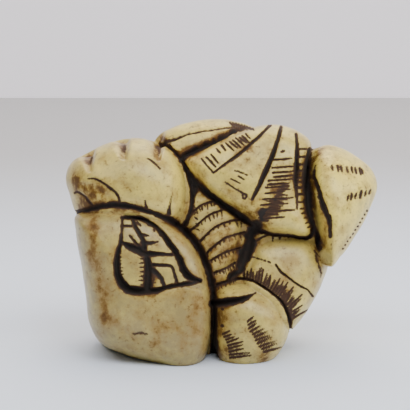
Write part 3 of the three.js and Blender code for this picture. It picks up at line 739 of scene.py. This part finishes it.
stains = {
    # brown smudges: x, up, half width, half height, strength
    "front": [
        (-17.6, 24.2, 2.4, 1.6, 1.1), (-19.6, 22.6, 1.2, 1, 0.7), (-20.3, 26.2, 1.2, 1.6, 0.75),
        (-18.7, 28.9, 0.4, 0.9, 1.8), (-13.8, 30.5, 0.4, 0.9, 1.8), (-9, 30.4, 0.5, 1, 1.8),
        (-8, 26.9, 0.3, 0.3, 0.4), (-7.2, 27, 0.3, 0.5, 0.4), (-9.3, 9.6, 1, 0.5, 0.5),
        (-10.4, 8, 1.2, 0.8, 0.35), (-8.8, 3.3, 0.8, 0.8, 0.3), (-3.4, 9, 0.8, 1.6, 0.4),
        (-4, 4, 1, 1.2, 0.25), (-2.6, 2, 0.6, 1.2, 0.4), (-13, 2.4, 2, 0.7, 0.3),
        (-9.2, 12, 0.6, 0.6, 2.2), (0.3, 6.6, 1.4, 1.4, 0.8), (0.2, 4.6, 1, 0.9, 0.6),
        (0.2, 2, 1, 0.8, 0.6), (5.8, 1.2, 1.1, 0.9, 0.6), (6, 21.4, 1.5, 1.8, 0.5),
        (5.8, 3, 1.3, 1.7, 0.4), (1.8, 2.2, 1.2, 1.5, 0.45), (7.8, 24.3, 1.4, 1.4, 0.5),
        (0, 17, 3.2, 6, 0.35), (0.8, 15.4, 2, 3, 0.4), (3.8, 30, 1.5, 1.2, 0.6),
        (9, 11.5, 1.6, 2, 0.4), (16, 17.5, 1.2, 1.5, 0.25), (-9, 5, 7, 4, 0.16),
        (-3.9, 28.9, 1.2, 1.5, 0.4), (8.3, 24.5, 2, 3.2, 0.35), (11.3, 26, 0.7, 4, 0.4),
        (3.5, 21.8, 1.5, 1, 0.5), (2, 24.5, 1.5, 1, 0.3), (12.7, 24, 0.5, 4, 0.25),
        (14.3, 17, 0.5, 2.5, 0.5), (-8.4, 31.7, 1.3, 0.5, 0.9), (13.4, 29.6, 0.8, 0.8, 0.4),
        (18.5, 27.4, 2, 0.6, 0.25), (5.2, 17.4, 1.3, 1, 0.55), (13.6, 14, 1, 1.2, 0.45),
    ],
    "back": [
        (2.8, 21, 2.8, 2.6, 0.45), (1.2, 13.5, 2.8, 2.6, 0.45), (-12, 26, 5, 3, 0.25),
        (6, 4, 8, 2.5, 0.35), (-9, 4, 6, 2.5, 0.3), (12, 24, 3, 3, 0.25),
    ],
    # brown lines: places along them, half width, strength
    "streaks": [
        ([(-18, 20.6), (-17.8, 16.2), (-16.9, 12.3), (-16.4, 9.1), (-15.9, 5.8)], 0.95, 0.6),
        ([(-6.4, 29.6), (-4.2, 30.45), (-1, 31.85), (2.2, 33.1)], 0.4, 0.9),
    ],
    # paler patches worn by handling, and one painted highlight on the drop's dome: x, up, half width,
    # half height, how much tone they add
    "rubsAndHighlight": [
        (-15.5, 18.6, 2.2, 3, 0.28), (-12.5, 6, 3, 4, 0.06), (-6, 26.5, 2, 3, 0.22),
        # the patch at 17.8, 25.8 is a painted highlight on the drop's dome
        (17.8, 25.8, 2.8, 2.8, 0.55), (-10.5, 14.5, 4, 4.5, 0.25), (-2, 27.5, 2, 1.2, 0.14),
        (3.5, 27, 2.5, 2, 0.12), (10, 15.2, 3, 1.5, 0.12), (-3, 33.6, 4, 0.6, 0.2),
    ],
    "crease": (0.16, 0.3),  # mm of hollow that inks a crease past the silhouette, and its rim
    "spread": [(0.9, 12), (0.45, 70)],  # how strongly soaked ink stains, and rounds of spreading
    "hollows": (0.3, 0.5, 0.4),  # mm of hollow that stains fully, the most it may, the front's share
    "inMouth": 0.4,  # share of the stain on the hand and cloth in the mouth, which stay clean
    "wearHeight": 0.08,  # mm by which a ridge stands out where it is worn fully
    "toneRounds": 25,  # rounds of spreading that blend one form's tone into the next
}


def stainOn(place, smudges, streaks):
    # the sum of strength * e^-(distance / half size)^2 over the smudges and streaks
    x, up = place[:, 0], place[:, 1]
    stain = np.zeros(len(x))
    for sx, su, wide, tall, strength in smudges:
        stain += strength * np.exp(-((x - sx) / wide)**2 - ((up - su) / tall)**2)
    for corners, width, strength in streaks:
        stain += strength * np.exp(-(lineDistance(x, up, smoothLine(corners))[0] / width)**2)
    return stain


hollowed, rim = stains["crease"]
creased = np.clip((hollow - hollowed) / rim + 0.5, 0, 1) * (1 - facing) * (1 - backward)
ink = np.maximum(ink, creased)
dry, more = gouge["soakFrom"]
soak = np.maximum(soak, np.clip((creased - dry) / more, 0, 1))
patina = (stainOn(place, stains["front"], stains["streaks"]) * facing
          + stainOn(place, stains["back"], []) * backward)
for amount, rounds in stains["spread"]:
    patina += amount * spreadOut(soak, rounds)
hollowed, most, frontShare = stains["hollows"]
patina += np.clip(hollow / hollowed, 0, most) * (1 - (1 - frontShare) * facing)
patina *= 1 - (1 - stains["inMouth"]) * inMouth * facing
worn = np.clip(-hollow / stains["wearHeight"], 0, 1)
# each form's tone, which is partly painted light, blended into the next
tone = spreadOut(toneOf(place[:, 0], place[:, 1]), stains["toneRounds"])
# paler patches, with the drop's painted highlight among them
tone += stainOn(place, stains["rubsAndHighlight"], [])
fields = {"ink": ink, "patina": np.clip(patina, 0, 1), "worn": worn, "tone": tone}
for name, values in fields.items():
    attribute = netsuke.data.attributes.new(name, "FLOAT", "POINT")
    attribute.data.foreach_set("value", values.astype(np.float32))
print("netsuke mesh:", len(points), "points, shift", shift)


def cordPath():
    # in at one cord hole, down into the block and out at the other, in m
    upper, lower = np.array(cordHoles["upper"]), np.array(cordHoles["lower"])
    reach, lead = cordHoles["reach"], cordHoles["lead"]
    corners = []
    for part, inside in ((0, -lead), (0.05, reach / 2), (0.5, reach), (0.95, reach / 2), (1, -lead)):
        x, up = upper + part * (lower - upper)
        corners.append(toPiece(x, up, backDepth(x, up) - inside))
    return smoothLine(corners, 6) * mm + shift


def boreTunnel(piece, path, sides=40):
    # ring = path + radius * (cos * across + sin * (ahead x across)), with the radius widened by the
    # flare at both mouths; the piece loses what the tube holds
    ahead = np.gradient(path, axis=0)
    ahead /= np.linalg.norm(ahead, axis=1)[:, None]
    across = np.cross(path[-1] - path[0], path[len(path) // 2] - path[0])
    across = across - (ahead @ across)[:, None] * ahead
    across /= np.linalg.norm(across, axis=1)[:, None]
    over = np.cross(ahead, across)
    run = np.concatenate([[0], np.cumsum(np.linalg.norm(np.diff(path, axis=0), axis=1))]) / mm
    deep = np.minimum(run, run[-1] - run) - cordHoles["lead"]  # mm under the face
    widened = 1 + cordHoles["flare"] * np.exp(-np.maximum(deep, -0.5) / cordHoles["flareReach"])
    radius = cordHoles["bore"] / 2 * mm * widened
    angle = np.arange(sides) * turn / sides
    ring = np.cos(angle)[:, None] * across[:, None] + np.sin(angle)[:, None] * over[:, None]
    tube = (path[:, None] + radius[:, None, None] * ring).reshape(-1, 3)
    number = np.arange(len(tube)).reshape(-1, sides)
    after = np.roll(number, -1, axis=1)
    quads = np.stack([number[:-1], after[:-1], after[1:], number[1:]], -1)
    loops = np.concatenate([quads.ravel(), number[0][::-1], number[-1]])
    totals = np.concatenate([np.full(quads.size // 4, 4), [sides, sides]])
    cutter = meshPiece("cord_tunnel", tube, loops, totals)
    bore = piece.modifiers.new("bore", "BOOLEAN")
    bore.object, bore.operation, bore.solver = cutter, "DIFFERENCE", "EXACT"
    bpy.context.view_layer.update()
    solved = piece.evaluated_get(bpy.context.evaluated_depsgraph_get())
    mesh = bpy.data.meshes.new_from_object(solved)
    piece.modifiers.clear()
    piece.data = mesh
    bpy.data.objects.remove(cutter)
    # the tunnel's wall has its own fields
    count = len(mesh.vertices)
    bored = np.empty(count * 3, np.float32)
    mesh.vertices.foreach_get("co", bored)
    away = np.linalg.norm(bored.reshape(-1, 1, 3) - path[None], axis=2)
    nearest = away.argmin(axis=1)
    inside = away[np.arange(count), nearest] < radius[nearest] * cordHoles["slack"]
    for name, value in cordHoles["inside"].items():
        values = np.empty(count, np.float32)
        mesh.attributes[name].data.foreach_get("value", values)
        values[inside] = value
        mesh.attributes[name].data.foreach_set("value", values)
    mesh.calc_loop_triangles()
    print("bored:", count, "points,", len(mesh.loop_triangles), "triangles,",
          int(inside.sum()), "in the tunnel")


boreTunnel(netsuke, cordPath())


def linear(code):
    # sRGB hex to linear
    value = np.array([int(code[i:i + 2], 16) / 255 for i in (1, 3, 5)])
    value = np.where(value <= 0.04045, value / 12.92, ((value + 0.055) / 1.055)**2.4)
    return (*value, 1.0)


def addNode(tree, kind, inputs=None, out=0, **settings):
    # a node with its settings, and its inputs set or linked by name or number; gives one output
    node = tree.nodes.new(kind)
    for name, value in settings.items():
        setattr(node, name, value)
    for name, value in (inputs or {}).items():
        if isinstance(value, bpy.types.NodeSocket):
            tree.links.new(value, node.inputs[name])
        else:
            node.inputs[name].default_value = value
    return node.outputs[out] if node.outputs else node


def newMaterial(name):
    material = bpy.data.materials.new(name)
    material.use_nodes = True
    material.node_tree.nodes.clear()
    return material, material.node_tree


ivoryLook = {
    "deep": "#968552",  # where handling has yellowed it, and painted shade on the forms the light falls on less
    "pale": "#efd766",
    "honey": "#8c6834",
    "rust": "#5f421f",
    "soot": "#28221e",
    "inkBrown": "#4c3220",
    # size in mm, detail and roughness of each noise; fray and pores are drawn coarser than they are
    "noises": {"clouds": (6.0, 4, 0.55), "smudge": (1.1, 5, 0.7), "fray": (0.22, 2, 0.6),
               "pores": (0.3, 1, 0.5), "mottle": (2.4, 6, 0.62), "flecks": (0.6, 3, 0.6)},
    # what the noises do: which one, the range of it that counts, and what that range becomes
    "levels": {
        "cloudy": ("clouds", 0.35, 0.65, -0.11, 0.11),  # paler and deeper clouds
        "smudged": ("smudge", 0.3, 0.7, 0.16, -0.16),  # and small smudges
        "broken": ("smudge", 0.3, 0.7, 0.4, 1.5),  # the patina comes and goes
        "mottled": ("mottle", 0.46, 0.66, 0.0, 0.58),  # brown mottle all over
        "flecked": ("flecks", 0.6, 0.7, 0.0, 0.7),
        "pitted": ("pores", 0.6, 0.8, 0.0, 0.4),
        "torn": ("fray", 0.3, 0.7, -0.08, 0.08),  # how far the ink's rim strays in its field
        "patchy": ("smudge", 0.52, 0.8, 0.0, 0.45),  # brown patches in the ink
    },
    "rough": (0.34, 0.75),  # roughness of polished ivory and of ink
    "gloss": (0.5, 0.1, 0.2),  # specular level of clean ivory, of stained ivory and of ink
    "bump": 0.06,  # mm of bump from the grain and from the ink's bed
}


def polishedIvory():
    # Ivory carved by hand, stained with ink and handled for years: a creamy, slightly waxy gloss,
    # honey clouds, near-black ink in the cuts and a brown bloom round them.
    look = ivoryLook
    material, tree = newMaterial("polishedIvory")
    place = addNode(tree, "ShaderNodeTexCoord", out="Object")
    field = {}
    for name in ("ink", "patina", "worn", "tone"):
        field[name] = addNode(tree, "ShaderNodeAttribute", attribute_name=name, out="Fac")
    noise = {}
    for name, (size, detail, rough) in look["noises"].items():
        noise[name] = addNode(tree, "ShaderNodeTexNoise", {
            "Vector": place, "Scale": 1 / (size * mm), "Detail": detail, "Roughness": rough},
            out="Fac")
    level = {}
    for name, (source, low, high, start, end) in look["levels"].items():
        level[name] = addNode(tree, "ShaderNodeMapRange", {
            0: noise[source], 1: low, 2: high, 3: start, 4: end})

    # how pale: the form's tone, moved by the clouds, by small smudges and by wear. The tone carries
    # painted light as well: paler forms where more light falls, and a painted highlight on the drop.
    moved = addNode(tree, "ShaderNodeMath", {0: level["cloudy"], 1: level["smudged"]}, operation="ADD")
    paleness = addNode(tree, "ShaderNodeMath", {0: field["tone"], 1: moved}, operation="ADD")
    paleWornAndLit = addNode(tree, "ShaderNodeMath", {0: field["worn"], 1: 0.14, 2: paleness},
                     operation="MULTIPLY_ADD")
    # how brown: patina broken up by the smudges, and a mottle all over
    stained = addNode(tree, "ShaderNodeMath", {
        0: field["patina"], 1: level["broken"], 2: level["mottled"]}, operation="MULTIPLY_ADD")
    bloom = addNode(tree, "ShaderNodeMapRange", {0: stained, 1: 0.0, 2: 1.0, 3: 0.0, 4: 0.9})
    crust = addNode(tree, "ShaderNodeMapRange", {0: stained, 1: 0.6, 2: 1.2})
    # flecks gather where it is stained
    gathered = addNode(tree, "ShaderNodeMapRange", {0: stained, 1: 0.06, 2: 0.35, 3: 0.15, 4: 1.0})
    dots = addNode(tree, "ShaderNodeMath", {0: level["flecked"], 1: gathered}, operation="MULTIPLY")
    # the ink's rim is torn by the fray
    edge = addNode(tree, "ShaderNodeMath", {0: field["ink"], 1: level["torn"]}, operation="ADD")
    inked = addNode(tree, "ShaderNodeMapRange", {0: edge, 1: 0.42, 2: 0.58})
    # brown where the ink is thin: in narrow cuts, along the rims and in patches
    shallow = addNode(tree, "ShaderNodeMapRange", {0: field["ink"], 1: 0.55, 2: 0.95, 3: 0.9, 4: 0.0})
    thin = addNode(tree, "ShaderNodeMath", {0: shallow, 1: level["patchy"]}, operation="MAXIMUM")
    brownInk = addNode(tree, "ShaderNodeMath", {0: inked, 1: thin}, operation="MULTIPLY")

    # each colour lies over the one before it
    color = linear(look["deep"])
    for amount, name in ((paleWornAndLit, "pale"), (bloom, "honey"), (crust, "rust"), (dots, "rust"),
                         (level["pitted"], "honey"), (inked, "soot"), (brownInk, "inkBrown")):
        color = addNode(tree, "ShaderNodeMix", {0: amount, 6: color, 7: linear(look[name])}, out=2,
                        data_type="RGBA")
    polished, matt = look["rough"]
    rough = addNode(tree, "ShaderNodeMapRange", {0: inked, 3: polished, 4: matt})
    # stain takes the polish off, and ink is matt
    clean, dulled, inky = look["gloss"]
    sheen = addNode(tree, "ShaderNodeMapRange", {0: stained, 1: 0.15, 2: 0.9, 3: clean, 4: dulled})
    gloss = addNode(tree, "ShaderNodeMapRange", {0: inked, 3: sheen, 4: inky})
    grain = addNode(tree, "ShaderNodeMath", {0: noise["fray"], 1: 0.15}, operation="MULTIPLY")
    height = addNode(tree, "ShaderNodeMath", {0: grain, 1: inked}, operation="SUBTRACT")
    bump = addNode(tree, "ShaderNodeBump", {
        "Height": height, "Strength": 0.6, "Distance": look["bump"] * mm})
    shader = addNode(tree, "ShaderNodeBsdfPrincipled", {
        "Base Color": color, "Roughness": rough, "Normal": bump, "IOR": 1.54,
        "Specular IOR Level": gloss, "Subsurface Weight": 0.08, "Subsurface Scale": 0.6 * mm,
        "Subsurface Radius": (1.0, 0.7, 0.4)})
    addNode(tree, "ShaderNodeOutputMaterial", {"Surface": shader})
    print("ivory mixed from", len(tree.nodes), "nodes")
    return material


netsuke.data.materials.append(polishedIvory())
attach(netsuke, "root")
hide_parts(nodeName)


studio = {
    "floorWidth": 1.6,
    "wallBehind": 0.30,
    "wallHeight": 0.9,
    "frontReach": 0.5,
    "nearFloor": "#e6efff",
    # the far floor's grey is painted shade, as the light falls off towards the back
    "farFloor": "#bfbfc2",
    "floorShade": (0.03, 0.20),  # m behind the piece over which the floor darkens: painted shade for light that falls off towards the wall
    "wallColor": "#d8d4da",
    "wallGlow": 0.82,  # the wall is lit from behind
    "lightAway": 0.42,  # m from the piece
    "lightSize": 0.3,
    # degrees round from the front towards the right, degrees up, watts and colour
    "lights": [(0, 60, 0.8, "#ffffff"), (36, 46, 0.85, "#ffffff"), (78, 30, 0.75, "#ffffff"),
               (170, 65, 1.1, "#fff1d8"), (-70, 50, 0.45, "#ffffff")],
    "roomColor": (0.9, 0.94, 1.0, 1),
    "roomStrength": 0.12,
    "aim": (0, 0, 0.016),  # the lights look at the middle of the piece
}


def flatSheet(name, corners, near, far, glow=0.0):
    # matt paper that goes from its near colour to its far one; on the floor the darker far end is
    # painted shade
    mesh = bpy.data.meshes.new(name)
    mesh.from_pydata(corners, [], [(0, 1, 2, 3)])
    sheet = bpy.data.objects.new(name, mesh)
    bpy.context.scene.collection.objects.link(sheet)
    material, tree = newMaterial(name + "Paper")
    place = addNode(tree, "ShaderNodeTexCoord", out="Object")
    behind = addNode(tree, "ShaderNodeSeparateXYZ", {0: place}, out="Y")
    start, end = studio["floorShade"]
    farShade = addNode(tree, "ShaderNodeMapRange", {0: behind, 1: start, 2: end},
                    interpolation_type="SMOOTHSTEP")
    color = addNode(tree, "ShaderNodeMix", {0: farShade, 6: linear(near), 7: linear(far)}, out=2,
                    data_type="RGBA")
    shader = addNode(tree, "ShaderNodeBsdfPrincipled", {
        "Base Color": color, "Roughness": 0.7, "Emission Color": linear(far),
        "Emission Strength": glow})
    addNode(tree, "ShaderNodeOutputMaterial", {"Surface": shader})
    mesh.materials.append(material)


wide, high = studio["floorWidth"] / 2, studio["wallHeight"]
front, rear = -studio["frontReach"], studio["wallBehind"]
flatSheet("floor", [(-wide, front, 0), (wide, front, 0), (wide, rear, 0), (-wide, rear, 0)],
          studio["nearFloor"], studio["farFloor"])
flatSheet("wall", [(-wide, rear, 0), (wide, rear, 0), (wide, rear, high), (-wide, rear, high)],
          studio["wallColor"], studio["wallColor"], studio["wallGlow"])


def aimed(place, aim):
    # a frame at place whose -Z points at aim, with its X level
    back = np.array(place, float) - aim
    back /= np.linalg.norm(back)
    right = np.cross((0, 0, 1), back)
    right /= np.linalg.norm(right)
    axes = np.stack([right, np.cross(back, right), back, place], axis=1)
    return Matrix(np.vstack([axes, (0, 0, 0, 1)]).tolist())


def areaLight(name, place, aim, size, power, color):
    data = bpy.data.lights.new(name, "AREA")
    data.shape = "DISK"
    data.size = size
    data.energy = power
    data.color = color
    light = bpy.data.objects.new(name, data)
    bpy.context.scene.collection.objects.link(light)
    light.matrix_world = aimed(place, aim)


aim = np.array(studio["aim"])
for i, (around, rise, power, tint) in enumerate(studio["lights"]):
    around, rise = math.radians(around), math.radians(rise)
    heading = np.array([math.sin(around) * math.cos(rise), -math.cos(around) * math.cos(rise),
                        math.sin(rise)])
    areaLight(f"light{i}", aim + heading * studio["lightAway"], aim, studio["lightSize"], power,
              linear(tint)[:3])
print("studio lit with", len(studio["lights"]), "lights")
world = bpy.data.worlds.new("softRoom")
world.use_nodes = True
world.node_tree.nodes["Background"].inputs["Color"].default_value = studio["roomColor"]
world.node_tree.nodes["Background"].inputs["Strength"].default_value = studio["roomStrength"]
bpy.context.scene.world = world

view = {
    "frameWidth": 57.4,  # mm across the frame at the relief's zero depth
    "sensor": 36.0,
}
eye = toPiece(relief["viewX"], relief["viewUp"], -relief["viewDistance"]) * mm + shift
looked = toPiece(relief["viewX"], relief["viewUp"], 0.0) * mm + shift
cameraData = bpy.data.cameras.new("camera")
cameraData.sensor_width = view["sensor"]
cameraData.lens = view["sensor"] * relief["viewDistance"] / view["frameWidth"]
cameraData.clip_start = 0.01
camera = bpy.data.objects.new("camera", cameraData)
bpy.context.scene.collection.objects.link(camera)
camera.matrix_world = aimed(eye, looked)
bpy.context.scene.camera = camera
